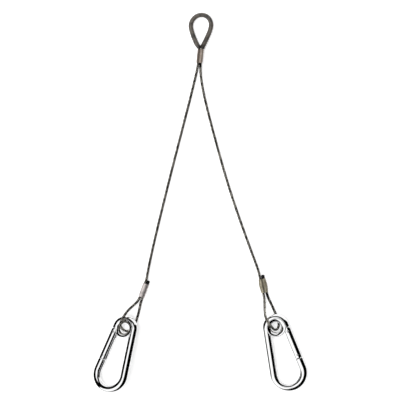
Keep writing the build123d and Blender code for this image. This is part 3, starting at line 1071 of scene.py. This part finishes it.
def build_gate(hook, name):
    """A round bar, forked for the tongue at its hinge and the nose at its free end, bored for the spring."""
    start = RIVET_S - WIRE_R
    past_end = GATE_END_S + CUT_OVER
    past_side = WIRE_R + CUT_OVER
    through = 2 * WIRE_R
    gate = round_bar(f"{name}_gate_bar", hook, start, GATE_END_S, WIRE_R, sides=80, steps=160, edge=WIRE_EDGE)
    turns = np.linspace(math.pi / 2, 1.5 * math.pi, 30)
    rounded = [(RIVET_S + WIRE_R * math.cos(t), WIRE_R * math.sin(t)) for t in turns]
    rounded += [(RIVET_S, -past_side), (past_end, -past_side), (past_end, past_side), (RIVET_S, past_side)]
    cut(gate, prism("hinge_end", rounded, -through, through, hook), "INTERSECT")
    hinge_slot = box_outline(start - CUT_OVER, RIVET_S + HINGE_SLOT_L, through)
    cut(gate, prism("hinge_slot", hinge_slot, -SLOT_HALF, SLOT_HALF, hook))
    latch_slot = box_outline(LATCH_SLOT_S, past_end, through)
    cut(gate, prism("latch_slot", latch_slot, -SLOT_HALF, SLOT_HALF, hook))
    cut(gate, round_bar("bore", hook, start - CUT_OVER, BORE_END_S, BORE_R, sides=48))
    cut(gate, prism("rivet_hole", circle_outline(RIVET_S, RIVET_HOLE_R), -through, through, hook))
    cut(gate, prism("pin_hole", circle_outline(LATCH_PIN_S, LATCH_HOLE_R), -through, through, hook))
    shade(gate)
    finish_piece(gate, CHROME, f"{name}_gate_lever", "hook_steel", f"{name}_gate")


def build_spring(hook, name):
    """The coil in the gate's bore, its end turns closed up."""
    turn = np.linspace(0, 2 * math.pi * SPRING_TURNS, 32 * SPRING_TURNS)
    share = turn / turn[-1]
    share = share - SPRING_PINCH * np.sin(2 * math.pi * share)
    length = SPRING_END_S - SPRING_START_S
    coil = []
    for t, place in zip(turn, share):
        along = SPRING_START_S + place * length
        coil.append(tuple(hook.gate_point(along, SPRING_R * math.cos(t), SPRING_R * math.sin(t))))
    coil = np.array(coil)
    normals, binormals = carried_frames(coil, tuple(hook.gate))[1:]
    sides = 12
    vertices = coil[:, None, :] + SPRING_WIRE_R * round_spokes(normals, binormals, sides)
    faces = grid_faces(len(coil), sides)
    add_end_faces(faces, len(coil), sides)
    spring = new_object(f"{name}_spring_coil", vertices.reshape(-1, 3), faces)
    finish_piece(spring, PIN_STEEL, f"{name}_gate_lever", "spring_steel", f"{name}_gate_spring")
    tuple(hook.gate_point(SPRING_END_S + SPRING_WIRE_R))
    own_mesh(spring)


def build_hook(side, name):
    hook = HookPlane(side, name)
    build_hook_body(hook, name)
    build_eyelet(hook, name)
    build_gate(hook, name)
    rivet = pin_mesh(f"{name}_rivet", hook, RIVET_S, RIVET_R, RIVET_HALF)
    finish_piece(rivet, PIN_STEEL, f"{name}_hook", "pin_steel", f"{name}_hinge_rivet")
    pin = pin_mesh(f"{name}_cross_pin", hook, LATCH_PIN_S, LATCH_PIN_R, LATCH_PIN_HALF)
    finish_piece(pin, PIN_STEEL, f"{name}_gate_lever", "pin_steel", f"{name}_latch_pin")
    build_spring(hook, name)
    plunger = frame["nodes"][f"{name}_gate_plunger"]
    plunger.data.materials.clear()
    plunger.data.materials.append(PIN_STEEL)


for side, name in SIDES.items():
    build_hook(side, name)


# ---------------------------------------------------------------- floor and light


def build_floor():
    """A white table, lit a little from itself so that the shadows on it stay faint, which nothing mirrors."""
    mesh = bpy.data.meshes.new("floor")
    half = FLOOR_HALF
    corners = [(-half, -half, 0), (half, -half, 0), (half, half, 0), (-half, half, 0)]
    mesh.from_pydata(corners, [], [(0, 1, 2, 3)])
    floor = bpy.data.objects.new("floor", mesh)
    bpy.context.scene.collection.objects.link(floor)
    n = Nodes("white_table")
    n.color(n.mix(n.noise(8, 2), (0.90, 0.90, 0.90), (0.92, 0.92, 0.92)))
    n.fixed(Roughness=0.7, Emission_Strength=TABLE_GLOW)
    n.shader.inputs["Emission Color"].default_value = (1, 1, 1, 1)
    n.shader.inputs["Specular IOR Level"].default_value = 0.1
    mesh.materials.append(n.material)
    floor.visible_glossy = False


# the studio as seen from the sling, by compass direction in degrees from +X: how high its dark wall reaches,
# and how high the white card in front of it reaches, both as the sine of the angle above the horizon
WALLS = [
    (-180, 0.66, -0.68),
    (-171, 0.52, -0.62),
    (-158, 0.16, -0.52),
    (-146, -0.16, -0.36),
    (-119, 0.18, 0.0),
    (-94, 0.58, -0.12),
    (-76, 0.90, -0.34),
    (-62, 0.98, -0.45),
    (-32, 1.0, -0.55),
    (12, 1.0, -0.45),
    (22, 1.0, -0.28),
    (36, 0.95, 0.52),
    (90, 0.93, 0.56),
    (106, 0.88, 0.42),
    (119, 0.80, 0.10),
    (140, 0.76, -0.45),
    (155, 0.76, -0.68),
    (180, 0.66, -0.68),
]
WALL_SOFTNESS = 0.06
SKY = 1.2
CARD = 1.15
FLOOR_HALF = 3.0
TABLE_GLOW = 0.46
SUN = 1.5
SUN_WIDTH = math.radians(44)
SUN_FROM = Vector((-0.26, 0.05, 0.96)).normalized()


def build_world():
    """A white ceiling over dark walls, with white cards of changing height in front of the walls."""
    world = bpy.data.worlds.new("studio")
    bpy.context.scene.world = world
    world.use_nodes = True
    tree = world.node_tree
    background = tree.nodes["Background"]
    place = tree.nodes.new("ShaderNodeTexCoord")
    split = tree.nodes.new("ShaderNodeSeparateXYZ")
    tree.links.new(place.outputs["Generated"], split.inputs[0])

    def math_node(operation, a, b=None):
        node = tree.nodes.new("ShaderNodeMath")
        node.operation = operation
        for target, value in zip(node.inputs, (a, b)):
            if isinstance(value, (int, float)):
                target.default_value = value
            elif value is not None:
                tree.links.new(value, target)
        return node.outputs[0]

    compass = math_node("ARCTAN2", split.outputs["Y"], split.outputs["X"])
    share = math_node("ADD", math_node("MULTIPLY", compass, 1 / (2 * math.pi)), 0.5)

    def height(column):
        """The height in one column of WALLS, by compass direction, kept as half of it plus a half."""
        ramp = tree.nodes.new("ShaderNodeValToRGB")
        ramp.color_ramp.interpolation = "LINEAR"
        for row in WALLS[1:-1]:
            ramp.color_ramp.elements.new((row[0] + 180) / 360)
        for element, row in zip(ramp.color_ramp.elements, WALLS):
            value = row[column] / 2 + 0.5
            element.color = (value, value, value, 1)
        tree.links.new(share, ramp.inputs["Fac"])
        return math_node("SUBTRACT", math_node("MULTIPLY", ramp.outputs["Color"], 2.0), 1.0)

    def above(level):
        rise = math_node("SUBTRACT", split.outputs["Z"], level)
        step = math_node("ADD", math_node("DIVIDE", rise, WALL_SOFTNESS), 0.5)
        step_node = tree.nodes.new("ShaderNodeClamp")
        tree.links.new(step, step_node.inputs["Value"])
        return step_node.outputs[0]

    ceiling = math_node("MULTIPLY", above(height(1)), SKY)
    card = math_node("MULTIPLY", math_node("SUBTRACT", 1.0, above(height(2))), CARD)
    tree.links.new(math_node("ADD", ceiling, card), background.inputs["Color"])
    background.inputs["Strength"].default_value = 1.0


def add_window_light():
    """A broad soft light from the left, which shines on the table and the dull pieces but isn't mirrored."""
    data = bpy.data.lights.new("window_light", "SUN")
    data.energy = SUN
    data.angle = SUN_WIDTH
    lamp = bpy.data.objects.new("window_light", data)
    lamp.location = SUN_FROM
    lamp.rotation_euler = SUN_FROM.to_track_quat("Z", "Y").to_euler()
    lamp.visible_glossy = False
    bpy.context.scene.collection.objects.link(lamp)


build_floor()
build_world()
add_window_light()
bpy.context.scene.view_settings.view_transform = "Standard"
